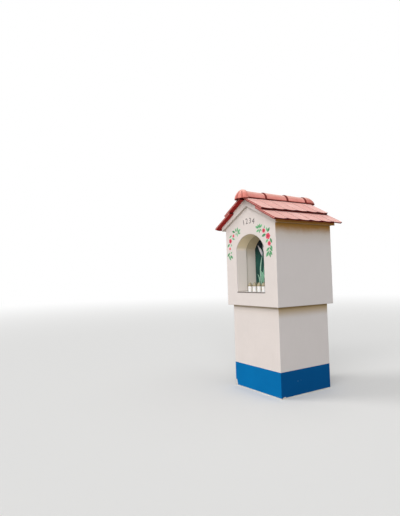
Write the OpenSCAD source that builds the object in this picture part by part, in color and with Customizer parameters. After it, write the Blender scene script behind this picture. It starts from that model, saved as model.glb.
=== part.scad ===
// Wayside shrine: a rendered masonry pillar with an arched niche under a small tiled gable roof.
// Millimetres. Origin at ground level in the middle of the footprint, +Z up, niche towards -Y.

/* [Shaft] */
// Width of the shaft, left to right
shaft_w = 810; // [700:5:1000]
// Depth of the shaft, front to back
shaft_d = 790; // [700:5:1000]
// Height of the bare footing course at the ground
footing_h = 12; // [6:1:40]
// Height of the top of the painted plinth
plinth_top = 290; // [120:5:600]
// Height of the top of the shaft, where the upper body starts
shaft_top = 1000; // [700:10:1400]

/* [Upper body] */
// Step outwards from the shaft to the upper body, all round
overhang = 50; // [20:5:90]
// Height of the base course under the niche floor
base_course_h = 155; // [80:5:300]
// Height of the side walls above the base course, at their outer face
wall_h = 841; // [760:1:1100]
// Thickness of the front and rear walls
wall_t = 160; // [100:5:200]

/* [Niche] */
// Width of the arched opening
niche_w = 500; // [380:5:540]
// Height of the straight jambs, up to where the arch springs
jamb_h = 535; // [400:5:600]
// Rise of the arch above the springing
arch_rise = 155; // [90:5:180]
// Depth of the inner reveal, behind the front wall
reveal_d = 150; // [100:5:200]
// How much wider the inner reveal is than the opening, each side
rebate = 12; // [6:1:20]
// Height of the masonry over the crown of the inner vault
crown_h = 43; // [20:1:80]
// Thickness of the sill slab
sill_t = 10; // [6:1:25]
// How far the sill slab stands out past the wall face
sill_lip = 4; // [2:1:15]
// Thickness of the picture board
picture_t = 12; // [6:1:25]
// Fitting gap round the picture board
picture_gap = 1; // [0.5:0.5:3]

/* [Candles] */
// Diameter of a candle cup
candle_d = 50; // [36:1:60]
// Height of a candle cup
candle_h = 72; // [40:1:140]
// Wall of the collar of a candle lid, outside the cup
lid_wall = 1.5; // [1:0.5:3]
// Height of the collar of a candle lid
lid_collar_h = 14; // [8:1:30]
// Height of the tapered top of a candle lid, above the cup
lid_top_h = 32; // [20:1:60]
// Width of the sloping shoulder inside the collar of a candle lid
lid_shoulder = 4; // [2:1:8]
// Diameter of the flat top of a candle lid
lid_top_d = 20; // [14:1:26]
// Diameter of the knob of a candle lid
lid_knob_d = 11; // [6:1:13]
// Height of the knob of a candle lid
lid_knob_h = 8; // [4:1:14]
// Distance from candle to candle
candle_step = 82; // [68:1:95]
// Place of the first candle, left of the middle
candle_left = 97; // [70:1:120]
// Distance of the candles behind the wall face
candle_in = 75; // [50:1:110]

/* [Cornice] */
// Projection of the raking bands from the gable walls
rake_out = 32; // [15:1:60]
// Projection of the side cornices from the side walls
cornice_out = 42; // [20:1:70]
// Upright height of a raking band at the ridge
rake_top_h = 65; // [45:1:90]
// Upright height of a raking band at the corner of the wall
rake_foot_h = 49; // [35:1:80]
// Depth of the side cornices below the tile bed at the wall
cornice_h = 66; // [45:1:110]

/* [Roof] */
// Pitch of the roof
roof_pitch = 28.5; // [22:0.5:36]
// Reach of the tiles past the side walls, level
eave_out = 115; // [80:1:160]
// Reach of the tiles past the gable walls
verge_out = 95; // [60:1:130]
// Width of a plain tile
tile_w = 180; // [150:5:220]
// Length of a plain tile
tile_len = 380; // [340:5:420]
// Thickness of a plain tile
tile_t = 13; // [10:1:20]
// Sagitta of the segmental lower end of a tile
tile_bow = 26; // [8:1:45]
// How far the ends of the bed layer stand back behind the ends of the cover layer
bed_setback = 30; // [10:1:60]
// Gap between neighbouring tiles
tile_gap = 2; // [1:0.5:5]
// Gap between the ends of the top tiles and the ridge line, along the slope
ridge_gap = 20; // [10:1:40]

/* [Ridge] */
// Outer radius of a ridge tile at its wide front end
ridge_r = 92; // [86:1:110]
// How much a ridge tile narrows in radius towards its rear end
ridge_taper = 8; // [2:0.5:8]
// Thickness of the ridge tiles and the end caps
ridge_t = 12; // [8:1:16]
// Play between the spigot of a ridge tile and the tile that laps over it
spigot_play = 2; // [1:0.5:4]
// Lap of a ridge tile or cap over the spigot in front of it
ridge_lap = 30; // [15:1:60]
// Length of spigot that stays open to view as a groove at each joint
ridge_groove = 16; // [6:1:24]
// Distance of the first ridge joint from the front edge of the roof
front_joint = 315; // [260:5:340]
// Distance from the first to the second ridge joint
ridge_step = 352; // [280:2:380]
// Mortar joint between the roof tiles and the edges of the ridge tiles and caps
ridge_bed = 12; // [5:1:20]
// How far the mortar stands back behind the edges of the ridge tiles
mortar_recess = 7; // [4:1:15]
// How far the mortar and the first ridge tile stand back from the edge of the roof
ridge_inset = 10; // [4:1:20]

/* [Ridge end caps] */
// Space between the first ridge tile and the front cap that laps over it
cap_gap = 1.5; // [1:0.5:10]
// Lap of the straight collar of the front cap over the first ridge tile
front_collar = 12; // [8:1:40]
// Length of the shell-shaped nose of the front cap
front_nose = 80; // [60:1:120]
// Fullness of the front nose: 1 is a straight slope, 2 is round
front_fullness = 1.4; // [1.1:0.05:2]
// Length of the straight collar of the rear cap behind its lap over the last spigot
rear_collar = 35; // [10:1:70]
// Length of the shell-shaped nose of the rear cap
rear_nose = 160; // [120:1:180]
// How far the nose of the rear cap starts behind the edge of the roof
rear_inset = 25; // [10:1:50]
// Fullness of the rear nose: 1 is a straight slope, 2 is round
rear_fullness = 1.75; // [1.1:0.05:2]
// Number of rounded lobes round the nose of a cap
cap_lobes = 4; // [2:1:6]
// Depth of the flutes between the lobes
flute_depth = 8; // [1:1:10]

/* [Hidden] */
$fn = 96;
body_w = shaft_w + 2 * overhang;
body_d = shaft_d + 2 * overhang;
hw = body_w / 2;
hd = body_d / 2;
floor_z = shaft_top + base_course_h;
eaves_z = floor_z + wall_h;
// The arch is a segment of a circle, and the inner vault is concentric with it
niche_hw = niche_w / 2;
spring_z = floor_z + jamb_h;
arch_r = (niche_hw * niche_hw + arch_rise * arch_rise) / (2 * arch_rise);
arch_z = spring_z + arch_rise - arch_r;
inner_hw = niche_hw + rebate;
plate_z = spring_z + arch_rise + rebate + crown_h;
front_y = -hd;
reveal_y = front_y + wall_t;
picture_y = reveal_y + reveal_d;
core_y = picture_y + picture_t;
rear_in_y = hd - wall_t;
sill_z = floor_z + sill_t;
candle_y = front_y + candle_in;
// The tile bed is the plane on which the lowest tiles lie
rise = tan(roof_pitch);
roof_half = hd + verge_out;
half_run = hw + eave_out;
slope_len = half_run / cos(roof_pitch);
eave_tip_z = eaves_z - eave_out * rise;
tiles_across = max(1, round(2 * roof_half / tile_w));
tile_step = 2 * roof_half / tiles_across;
// Two courses share the slope, and each is a bed layer under a cover layer
course_t = 2 * tile_t;
course_step = slope_len - ridge_gap - tile_len;
bedding_half = hd + rake_out;
// The ridge tiles stand on mortar, with their lower edges level
cover_z = eaves_z + hw * rise + 2 * course_t / cos(roof_pitch);
ridge_r_rear = ridge_r - ridge_taper;
ridge_z = cover_z - ridge_r_rear * rise + ridge_bed;
spigot_r = ridge_r - ridge_t - spigot_play;
fill_r = spigot_r - ridge_t;
// The front cap laps over the first ridge tile, the rear cap is as wide as the front end of a tile
front_cap_r = ridge_r + cap_gap + ridge_t;
front_cap_y = roof_half - ridge_inset;
rear_cap_y = roof_half - rear_inset;
rear_cap_front = rear_cap_y - rear_collar - ridge_lap;
// Facets of an end cap: columns round its nose, and rows from its rim to its top
cap_columns = 8 * cap_lobes;
cap_rows = 9;
cap_last = cap_columns + 2;
// Extra depth of a cut past the face that it opens
cut = 1;

// Height of the tile bed at a distance x from the middle
function bed_z(x) = eaves_z + (hw - abs(x)) * rise;

// Height of the upper face of the tiles near the ridge
function cover_top(x) = cover_z - abs(x) * rise;

// Level of the rim of an end cap with the outer radius r
function rim_z(r) = cover_top(r) + ridge_bed;

// A block from a lower corner to an upper corner
module block(low, high) {
    translate(low) cube(high - low);
}

// Stands a drawing made in X and Z upright, from y0 to y1
module upright(y0, y1) {
    translate([0, y1, 0]) rotate([90, 0, 0]) linear_extrude(y1 - y0) children();
}

// Places a piece drawn in the plane of the right-hand slope, X down the slope and Z out of it
module on_slope() {
    translate([half_run, 0, eave_tip_z]) rotate([0, roof_pitch, 0]) children();
}

// The right side as drawn, or its mirror image on the left
module side(s) {
    if (s > 0) children(); else mirror([1, 0, 0]) children();
}

module footing() {
    color("lightgray") block([-shaft_w / 2, -shaft_d / 2, 0], [shaft_w / 2, shaft_d / 2, footing_h]);
}

module plinth() {
    color("steelblue") block([-shaft_w / 2, -shaft_d / 2, footing_h], [shaft_w / 2, shaft_d / 2, plinth_top]);
}

module shaft() {
    color("whitesmoke") block([-shaft_w / 2, -shaft_d / 2, plinth_top], [shaft_w / 2, shaft_d / 2, shaft_top]);
}

module base_course() {
    color("whitesmoke") block([-hw, -hd, shaft_top], [hw, hd, floor_z]);
}

// Arched outline of the niche in X and Z, grown by g, from height z0 upwards
module arch_outline(g, z0) {
    intersection() {
        translate([-niche_hw - g, z0]) square([niche_w + 2 * g, spring_z + arch_rise + g - z0]);
        union() {
            translate([0, arch_z]) circle(arch_r + g);
            translate([-niche_hw - g, z0]) square([niche_w + 2 * g, spring_z - z0]);
        }
    }
}

// Gable wall outline in X and Z
module gable_outline() {
    polygon([[-hw, floor_z], [hw, floor_z], [hw, bed_z(hw)], [0, bed_z(0)], [-hw, bed_z(hw)]]);
}

module front_wall() {
    color("whitesmoke") upright(front_y, reveal_y) difference() {
        gable_outline();
        arch_outline(0, floor_z - cut);
    }
}

module rear_wall() {
    color("whitesmoke") upright(rear_in_y, hd) gable_outline();
}

module side_wall(s) {
    color("whitesmoke") side(s) upright(reveal_y, rear_in_y)
        polygon([[inner_hw, floor_z], [hw, floor_z], [hw, bed_z(hw)], [inner_hw, bed_z(inner_hw)]]);
}

module niche_vault() {
    color("whitesmoke") upright(reveal_y, core_y) difference() {
        translate([-inner_hw, spring_z]) square([2 * inner_hw, plate_z - spring_z]);
        arch_outline(rebate, floor_z);
    }
}

module niche_back() {
    color("whitesmoke") block([-inner_hw, core_y, floor_z], [inner_hw, rear_in_y, plate_z]);
}

module roof_core() {
    color("lightgray") upright(reveal_y, rear_in_y)
        polygon([[-inner_hw, plate_z], [inner_hw, plate_z], [inner_hw, bed_z(inner_hw)],
            [0, bed_z(0)], [-inner_hw, bed_z(inner_hw)]]);
}

// The sill is as wide as the opening in front and as the inner reveal behind
module niche_sill() {
    color("gray") translate([0, 0, floor_z]) linear_extrude(sill_t) union() {
        translate([-niche_hw, front_y - sill_lip]) square([niche_w, wall_t + sill_lip]);
        translate([-inner_hw, reveal_y]) square([2 * inner_hw, reveal_d]);
    }
}

module picture_board() {
    color("darkslategray") upright(picture_y, core_y) arch_outline(rebate - picture_gap, floor_z);
}

function candle_x(i) = -candle_left + i * candle_step;

module candle(i) {
    color("white") translate([candle_x(i), candle_y, sill_z]) cylinder(h = candle_h, d = candle_d);
}

// Lid: a collar round the top of the cup, a shoulder, a tapered top and a small knob
module candle_lid(i) {
    r = candle_d / 2;
    collar_z = lid_collar_h / 2;
    color("peru") translate([candle_x(i), candle_y, sill_z + candle_h]) {
        rotate_extrude() polygon([[0, 0], [r, 0], [r, -collar_z], [r + lid_wall, -collar_z],
            [r + lid_wall, collar_z], [r - lid_shoulder, collar_z + lid_shoulder],
            [lid_top_d / 2, lid_top_h], [0, lid_top_h]]);
        translate([0, 0, lid_top_h]) cylinder(h = lid_knob_h, d = lid_knob_d);
    }
}

// Raking band on the right half of a gable, tapered, and level at its foot with the side cornice
module rake_outline() {
    x1 = hw + cornice_out;
    low_z = eaves_z - cornice_h;
    fall = rise - (rake_top_h - rake_foot_h) / hw;
    intersection() {
        polygon([[0, bed_z(0)], [0, bed_z(0) - rake_top_h], [x1, bed_z(0) - rake_top_h - x1 * fall],
            [x1, bed_z(x1)]]);
        translate([0, low_z]) square([x1, bed_z(0) - low_z]);
    }
}

module front_rake(s) {
    color("white") side(s) upright(front_y - rake_out, front_y) rake_outline();
}

module rear_rake(s) {
    color("white") side(s) upright(hd, hd + rake_out) rake_outline();
}

module side_cornice(s) {
    x1 = hw + cornice_out;
    color("white") side(s) upright(-hd, hd)
        polygon([[hw, eaves_z - cornice_h], [x1, eaves_z - cornice_h], [x1, bed_z(x1)], [hw, eaves_z]]);
}

// Mortar that carries the upper course, from the upper ends of the lower tiles to the ridge
module bedding(s) {
    color("rosybrown") side(s) intersection() {
        on_slope() translate([-slope_len - course_t, -bedding_half, 0])
            cube([slope_len + course_t - tile_len - tile_gap, 2 * bedding_half, course_t]);
        translate([0, -bedding_half, 0]) cube([half_run, 2 * bedding_half, cover_z]);
    }
}

// Outline of one plain tile, X down the slope, with its segmental end at x = 0
module tile_outline(len) {
    w = tile_step - tile_gap;
    r = (w * w / 4 + tile_bow * tile_bow) / (2 * tile_bow);
    translate([-len, -w / 2]) square([len - tile_bow, w]);
    intersection() {
        translate([-r, 0]) circle(r);
        translate([-r, -w / 2]) square([r, w]);
    }
}

// One layer of a course: the cover layer has whole tiles, the bed layer starts and ends with halves
module tile_layer(s, course, layer) {
    setback = layer == 0 ? bed_setback : 0;
    len = tile_len - setback;
    first = layer == 0 ? -tiles_across / 2 : -(tiles_across - 1) / 2;
    count = layer == 0 ? tiles_across + 1 : tiles_across;
    color(layer == 0 ? "indianred" : "salmon") side(s) on_slope()
        translate([-course * course_step - setback, 0, course * course_t + layer * tile_t]) linear_extrude(tile_t)
            intersection() {
                for (i = [0 : count - 1]) translate([0, (first + i) * tile_step]) tile_outline(len);
                translate([-len, -roof_half + tile_gap / 2]) square([len, 2 * roof_half - tile_gap]);
            }
}

// Half-round outline in X and Z with straight legs down to z0
module ridge_outline(r, z0) {
    intersection() {
        translate([0, ridge_z]) circle(r);
        translate([-r, ridge_z]) square([2 * r, r]);
    }
    translate([-r, z0]) square([2 * r, ridge_z - z0]);
}

// Mortar inside the ridge: a run under the ridge tiles, a filling inside the collar of the front cap,
// and a bed under the rim of the rear cap
module ridge_mortar() {
    run_hw = ridge_r_rear - mortar_recess;
    collar_hw = front_cap_r - ridge_t;
    rear_hw = ridge_r - mortar_recess;
    low_z = cover_top(front_cap_r);
    color("rosybrown") difference() {
        union() {
            upright(-front_cap_y, rear_cap_y) ridge_outline(fill_r, low_z);
            block([-run_hw, -front_cap_y, low_z], [run_hw, rear_cap_y, ridge_z]);
            block([-collar_hw, -front_cap_y, low_z], [collar_hw, front_collar - front_cap_y, ridge_z]);
            block([-rear_hw, rear_cap_front + mortar_recess, low_z], [rear_hw, front_cap_y, rim_z(ridge_r)]);
        }
        upright(-roof_half, roof_half)
            polygon([[-half_run, cover_top(half_run)], [0, cover_z], [half_run, cover_top(half_run)]]);
    }
}

// Place of the front end of ridge tile i, counted from 0, and of the rear cap
function joint_y(i) = [-front_cap_y, front_joint - roof_half, front_joint - roof_half + ridge_step,
    rear_cap_front][i];

// A round length along Y from y0 to y1, with the radius r0 at y0 and r1 at y1
module ridge_round(y0, y1, r0, r1) {
    translate([0, y0, ridge_z]) rotate([-90, 0, 0]) cylinder(h = y1 - y0, r1 = r0, r2 = r1);
}

// Half-round ridge tile: a socket in front, a tapered body, and a spigot that the next tile laps over
module ridge_tile(i) {
    start = joint_y(i);
    socket = start + ridge_lap;
    shoulder = joint_y(i + 1) - ridge_groove;
    end = joint_y(i + 1) + ridge_lap;
    bore_r = ridge_r - ridge_t;
    color("indianred") intersection() {
        difference() {
            union() {
                ridge_round(start, shoulder, ridge_r, ridge_r_rear);
                ridge_round(shoulder, end, spigot_r, spigot_r);
            }
            ridge_round(start, socket, bore_r, bore_r);
            ridge_round(socket, shoulder, bore_r, fill_r);
            ridge_round(shoulder, end, fill_r, fill_r);
        }
        block([-ridge_r, start, ridge_z], [ridge_r, end, ridge_z + ridge_r]);
    }
}

// A point of an end cap's outer skin, or of the inner one set in by the thickness of the clay.
// Column 0 and the last are the ends of the collar, the others go round the nose from side to side.
function cap_point(r, y, collar, nose, fullness, inset, c, j) =
    let (turn = 180 * min(max(c - 1, 0), cap_columns) / cap_columns,
        back = c == 0 || c == cap_last ? collar : 0,
        climb = 90 * max(j - 1, 0) / (cap_rows - 1),
        power = 2 / (2 - (2 - fullness) * sin(turn)),
        flute = flute_depth / r * sin(turn) * (1 - abs(sin(cap_lobes * turn))),
        reach = pow(cos(climb), power) * (1 - flute))
    [(r - inset) * cos(turn) * reach, back - y - (nose - inset) * sin(turn) * reach,
        j == 0 ? rim_z(r) : ridge_z + (r - inset) * pow(sin(climb), power)];

// Number of a cap's point within its skin: the columns of the nose meet at the top
function cap_index(c, j) =
    j < cap_rows ? c * cap_rows + j : (cap_last + 1) * cap_rows + (c == 0 || c == cap_last ? 0 : 1);

// Shell of an end cap: two skins, joined along the rim and along the end of the collar
module ridge_cap(r, y, collar, nose, fullness) {
    inner = (cap_last + 1) * cap_rows + 2;
    points = [for (inset = [0, ridge_t]) each concat(
        [for (c = [0 : cap_last], j = [0 : cap_rows - 1])
            cap_point(r, y, collar, nose, fullness, inset, c, j)],
        [for (c = [0, 1]) cap_point(r, y, collar, nose, fullness, inset, c, cap_rows)])];
    skin = [for (c = [0 : cap_last - 1], j = [0 : cap_rows - 1])
        let (low = cap_index(c, j), next = cap_index(c + 1, j),
            next_up = cap_index(c + 1, j + 1), up = cap_index(c, j + 1))
        each up == next_up ? [[low, next, up]] : [[low, next, next_up], [low, next_up, up]]];
    rim = [for (c = [0 : cap_last - 1]) let (a = cap_index(c, 0), b = cap_index(c + 1, 0))
        each [[b, a, a + inner], [b, a + inner, b + inner]]];
    ends = [for (j = [0 : cap_rows - 1])
        let (a = cap_index(0, j), b = cap_index(0, j + 1),
            d = cap_index(cap_last, j), e = cap_index(cap_last, j + 1))
        each [[a, b, b + inner], [a, b + inner, a + inner], [e, d, d + inner], [e, d + inner, e + inner]]];
    color("indianred") polyhedron(points, concat(skin,
        [for (f = skin) [f[0] + inner, f[2] + inner, f[1] + inner]], rim, ends));
}

footing();
plinth();
shaft();
base_course();
front_wall();
side_wall(-1);  // left_wall
side_wall(1);  // right_wall
rear_wall();
niche_vault();
niche_back();
roof_core();
niche_sill();
picture_board();
candle(0);  // candle_1
candle(1);  // candle_2
candle(2);  // candle_3
candle(3);  // candle_4
candle_lid(0);  // candle_lid_1
candle_lid(1);  // candle_lid_2
candle_lid(2);  // candle_lid_3
candle_lid(3);  // candle_lid_4
front_rake(-1);  // front_left_rake
front_rake(1);  // front_right_rake
rear_rake(-1);  // rear_left_rake
rear_rake(1);  // rear_right_rake
side_cornice(-1);  // left_cornice
side_cornice(1);  // right_cornice
bedding(-1);  // left_bedding
bedding(1);  // right_bedding
tile_layer(-1, 0, 0);  // left_lower_bed_tiles
tile_layer(-1, 0, 1);  // left_lower_cover_tiles
tile_layer(-1, 1, 0);  // left_upper_bed_tiles
tile_layer(-1, 1, 1);  // left_upper_cover_tiles
tile_layer(1, 0, 0);  // right_lower_bed_tiles
tile_layer(1, 0, 1);  // right_lower_cover_tiles
tile_layer(1, 1, 0);  // right_upper_bed_tiles
tile_layer(1, 1, 1);  // right_upper_cover_tiles
ridge_mortar();
ridge_tile(0);  // ridge_tile_1
ridge_tile(1);  // ridge_tile_2
ridge_tile(2);  // ridge_tile_3
ridge_cap(front_cap_r, front_cap_y, front_collar, front_nose, front_fullness);  // front_ridge_cap
mirror([0, 1, 0]) ridge_cap(ridge_r, rear_cap_y, rear_collar + ridge_lap, rear_nose, rear_fullness);  // rear_ridge_cap
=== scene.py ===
import math
import random

import bmesh
import bpy
from mathutils import Matrix, Vector


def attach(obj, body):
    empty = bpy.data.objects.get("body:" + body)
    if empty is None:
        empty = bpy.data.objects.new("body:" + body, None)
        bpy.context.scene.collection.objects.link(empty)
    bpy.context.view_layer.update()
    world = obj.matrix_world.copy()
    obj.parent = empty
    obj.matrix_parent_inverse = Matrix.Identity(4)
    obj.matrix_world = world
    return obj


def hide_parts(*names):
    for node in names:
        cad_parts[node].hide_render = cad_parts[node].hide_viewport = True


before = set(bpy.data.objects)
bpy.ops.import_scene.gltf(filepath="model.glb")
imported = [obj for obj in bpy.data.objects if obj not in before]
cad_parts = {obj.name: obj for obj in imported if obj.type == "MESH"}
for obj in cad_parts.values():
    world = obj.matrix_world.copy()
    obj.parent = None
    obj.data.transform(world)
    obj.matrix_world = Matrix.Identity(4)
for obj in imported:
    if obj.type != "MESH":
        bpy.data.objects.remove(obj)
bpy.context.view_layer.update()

# Camera: it stands at eye height, to the front and to the right of the shrine. Its turns are in degrees:
# to the left of +Y, upwards, and a slight roll. Its focal length is in pixels of a picture 516 pixels high.
camera_place, camera_yaw, camera_tilt, camera_roll = (3.7633, -3.5416, 1.358), 57.429, 2.643, -1.593
focal_pixels, picture_pixels = 410.86, 516
bpy.ops.object.camera_add()
camera = bpy.context.object
camera.matrix_world = (Matrix.Translation(camera_place)
                       @ Matrix.Rotation(math.radians(camera_yaw), 4, "Z")
                       @ Matrix.Rotation(math.radians(90 + camera_tilt), 4, "X")
                       @ Matrix.Rotation(math.radians(camera_roll), 4, "Z"))
camera.data.lens = focal_pixels / picture_pixels * camera.data.sensor_width
bpy.context.scene.camera = camera

# Light: wide soft lights as under a thin cloud, the strongest low from the front right, with an even glow
# all round. What the camera or a reflection sees behind the shrine is white.
bpy.context.scene.view_settings.view_transform = "Standard"
for name, turn, energy, spread in (("key", (74, 0, 35), 2.45, 60), ("front_left", (50, 0, -38), 0.88, 24),
                                   ("overhead", (15, 0, 150), 0.60, 60)):
    bpy.ops.object.light_add(type="SUN", rotation=[math.radians(a) for a in turn])
    bpy.context.object.name = name
    bpy.context.object.data.energy = energy
    bpy.context.object.data.angle = math.radians(spread)


def add_node(tree, kind, inputs, **settings):
    """Adds a node. Its inputs are set by name or number: a socket is linked, anything else is a value."""
    made = tree.nodes.new(kind)
    for key, value in settings.items():
        setattr(made, key, value)
    for key, value in inputs.items():
        if isinstance(value, bpy.types.NodeSocket):
            tree.links.new(value, made.inputs[key])
        else:
            made.inputs[key].default_value = value
    return made


def maths(tree, operation, *values):
    """The result of one operation on patterns and plain numbers."""
    return add_node(tree, "ShaderNodeMath", dict(enumerate(values)), operation=operation).outputs[0]


def seen_directly(tree):
    """1 for what the camera, a reflection or clear glass sees directly, and 0 for all other light."""
    rays = tree.nodes.new("ShaderNodeLightPath").outputs
    seen = maths(tree, "MAXIMUM", rays["Is Camera Ray"], rays["Is Glossy Ray"])
    return maths(tree, "MAXIMUM", seen, rays["Is Transmission Ray"])


world = bpy.data.worlds.new("studio")
bpy.context.scene.world = world
world.use_nodes = True
tree = world.node_tree
tree.nodes.clear()
glow = add_node(tree, "ShaderNodeBackground", {"Color": (0.93, 0.96, 1.0, 1), "Strength": 0.36})
white = add_node(tree, "ShaderNodeBackground", {"Color": (1, 1, 1, 1), "Strength": 1.0})
backdrop = add_node(tree, "ShaderNodeMixShader", {0: seen_directly(tree), 1: glow.outputs[0],
                                                  2: white.outputs[0]})
add_node(tree, "ShaderNodeOutputWorld", {0: backdrop.outputs[0]})

# Floor: plain and pale, far wider than the shrine, and fading into the white background with distance.
# It isn't part of the shrine.
floor_radius, fade_from, fade_to = 60, 5, 24


def select_nothing():
    """Leaves edit mode and deselects every object."""
    if bpy.context.object is not None and bpy.context.object.mode == "EDIT":
        bpy.ops.object.mode_set(mode="OBJECT")
    bpy.ops.object.select_all(action="DESELECT")


def ramp(tree, value, start, end):
    """0 before start, 1 after end, and smooth between them. Start may be the larger one."""
    return add_node(tree, "ShaderNodeMapRange", {"Value": value, "From Min": start, "From Max": end},
                    interpolation_type="SMOOTHSTEP").outputs[0]


def blend_colour(tree, share, first, second):
    """The first colour where the share is 0, the second where it is 1. A colour is a socket or a triple."""
    colours = {6: first, 7: second}
    for key, value in colours.items():
        if not isinstance(value, bpy.types.NodeSocket):
            colours[key] = (*value, 1)
    return add_node(tree, "ShaderNodeMix", {0: share, **colours}, data_type="RGBA").outputs[2]


select_nothing()
bpy.ops.mesh.primitive_circle_add(vertices=96, radius=floor_radius, fill_type="NGON")
floor = bpy.context.object
floor.name = "floor"
pale = bpy.data.materials.new("pale_floor")
pale.use_nodes = True
tree = pale.node_tree
tree.nodes.clear()
away = add_node(tree, "ShaderNodeVectorMath", {0: tree.nodes.new("ShaderNodeTexCoord").outputs["Object"]},
                operation="LENGTH")
faded = maths(tree, "MULTIPLY", ramp(tree, away.outputs["Value"], fade_from, fade_to), seen_directly(tree))
floor_tone = blend_colour(tree, seen_directly(tree), (0.46, 0.45, 0.40), (0.80, 0.79, 0.77))
matte = add_node(tree, "ShaderNodeBsdfDiffuse", {"Color": floor_tone})
glare = add_node(tree, "ShaderNodeEmission", {"Color": (1, 1, 1, 1), "Strength": 1.0})
surface = add_node(tree, "ShaderNodeMixShader", {0: faded, 1: matte.outputs[0], 2: glare.outputs[0]})
add_node(tree, "ShaderNodeOutputMaterial", {0: surface.outputs[0]})
floor.data.materials.append(pale)

# Shaft: a pillar of solid brickwork, rendered and painted white, with its foot painted blue and a thin
# strip of bare concrete at the ground. The arrises are rounded by the trowel.
shaft_x, shaft_y, shaft_top = 0.405, 0.395, 1.0
footing_top, blue_top, shaft_arris = 0.012, 0.290, 0.007


def open_new(name):
    """Names the object that was just added, puts its place into its mesh and opens it for editing."""
    piece = bpy.context.object
    piece.name = name
    bpy.ops.object.transform_apply(location=True, rotation=True, scale=True)
    bpy.ops.object.mode_set(mode="EDIT")
    return piece


def block(name, corner, opposite):
    """Adds a block between two opposite corners and opens it for editing."""
    select_nothing()
    bpy.ops.mesh.primitive_cube_add(size=1, location=[(a + b) / 2 for a, b in zip(corner, opposite)],
                                    scale=[abs(b - a) for a, b in zip(corner, opposite)])
    return open_new(name)


def pick(piece, kind, test):
    """Selects the vertices, edges or faces that pass the test on their middle, and nothing else."""
    mesh = bmesh.from_edit_mesh(piece.data)
    bpy.context.tool_settings.mesh_select_mode = (kind == "verts", kind == "edges", kind == "faces")
    mesh.select_mode = {kind[:-1].upper()}
    for item in [*mesh.verts, *mesh.edges, *mesh.faces]:
        item.select = False
    for item in getattr(mesh, kind):
        corners = [item] if kind == "verts" else item.verts
        middle = sum((v.co for v in corners), Vector()) / len(corners)
        if test(middle, item):
            item.select_set(True)
    mesh.select_flush_mode()
    bmesh.update_edit_mesh(piece.data)


def upright_edge(middle, edge):
    """True for an edge that stands straight up."""
    return abs(edge.verts[0].co.z - edge.verts[1].co.z) > 0.999 * edge.calc_length()


def soften(width, segments=3):
    """Rounds the selected edges."""
    bpy.ops.mesh.bevel(offset=width, segments=segments, profile=0.5, affect="EDGES")


def make_active(piece):
    """Selects one piece and nothing else."""
    select_nothing()
    bpy.context.view_layer.objects.active = piece
    piece.select_set(True)


def use_modifier(piece, kind, **settings):
    """Adds a modifier to the piece and applies it."""
    make_active(piece)
    modifier = piece.modifiers.new(kind.lower(), kind)
    for key, value in settings.items():
        setattr(modifier, key, value)
    bpy.ops.object.modifier_apply(modifier=modifier.name)


def finish_piece(piece, material, slot, *nodes, smooth=35):
    """Shades the piece smoothly round its small edges, gives it its material, and sets it in the shrine."""
    make_active(piece)
    bpy.ops.object.shade_smooth_by_angle(angle=math.radians(smooth))
    use_modifier(piece, "WEIGHTED_NORMAL", keep_sharp=True)
    piece.data.materials.clear()
    piece.data.materials.append(material)
    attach(piece, "root")
    if nodes:
        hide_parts(*nodes)


def new_material(name, roughness, gloss=0.3):
    """A new material: gives it with its node tree, its shader and a socket of Object coordinates."""
    made = bpy.data.materials.new(name)
    made.use_nodes = True
    tree = made.node_tree
    shader = tree.nodes["Principled BSDF"]
    shader.inputs["Roughness"].default_value = roughness
    shader.inputs["Specular IOR Level"].default_value = gloss
    return made, tree, shader, tree.nodes.new("ShaderNodeTexCoord").outputs["Object"]


def noise(tree, place, scale, detail, low=0.0, high=1.0, stretch=(1, 1, 1)):
    """A cloudy pattern from 0 to 1: 0 where the noise is under low, 1 where it is over high."""
    moved = add_node(tree, "ShaderNodeMapping", {"Vector": place, "Scale": stretch})
    clouds = add_node(tree, "ShaderNodeTexNoise", {"Vector": moved.outputs[0], "Scale": scale,
                                                   "Detail": detail, "Roughness": 0.6})
    return add_node(tree, "ShaderNodeMapRange", {"Value": clouds.outputs["Fac"], "From Min": low,
                                                 "From Max": high}).outputs[0]


def product(tree, first, *others):
    """One pattern times all the others."""
    for other in others:
        first = maths(tree, "MULTIPLY", first, other)
    return first


def lay_over(tree, paint, *stains):
    """Lays stains and painted light and shade over a paint, one after another. Each is where it lies, its
    strength and its colour.
    """
    for share, strength, colour in stains:
        paint = blend_colour(tree, product(tree, share, strength), paint, colour)
    return paint


def along(tree, place, axis):
    """One coordinate of a place or of a direction."""
    return add_node(tree, "ShaderNodeSeparateXYZ", {0: place}).outputs[axis]


def either_way(tree, place, axis):
    """One coordinate of a place or of a direction, without its sign."""
    return maths(tree, "ABSOLUTE", along(tree, place, axis))


def facing(tree):
    """The direction in which the surface looks."""
    return tree.nodes.new("ShaderNodeNewGeometry").outputs["Normal"]


def side_faces(tree):
    """1 on faces that look to the left or to the right."""
    return ramp(tree, either_way(tree, facing(tree), "X"), 0.5, 0.8)


def set_colour(tree, shader, colour):
    """Gives the shader its colour."""
    tree.links.new(colour, shader.inputs["Base Color"])


def set_bump(tree, shader, *layers):
    """Lays bumps one over the other. A layer is a pattern of heights, their depth and their strength."""
    normal = None
    for height, distance, strength in layers:
        inputs = {"Height": height, "Distance": distance, "Strength": strength}
        if normal is not None:
            inputs["Normal"] = normal
        normal = add_node(tree, "ShaderNodeBump", inputs).outputs[0]
    tree.links.new(normal, shader.inputs["Normal"])


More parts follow.
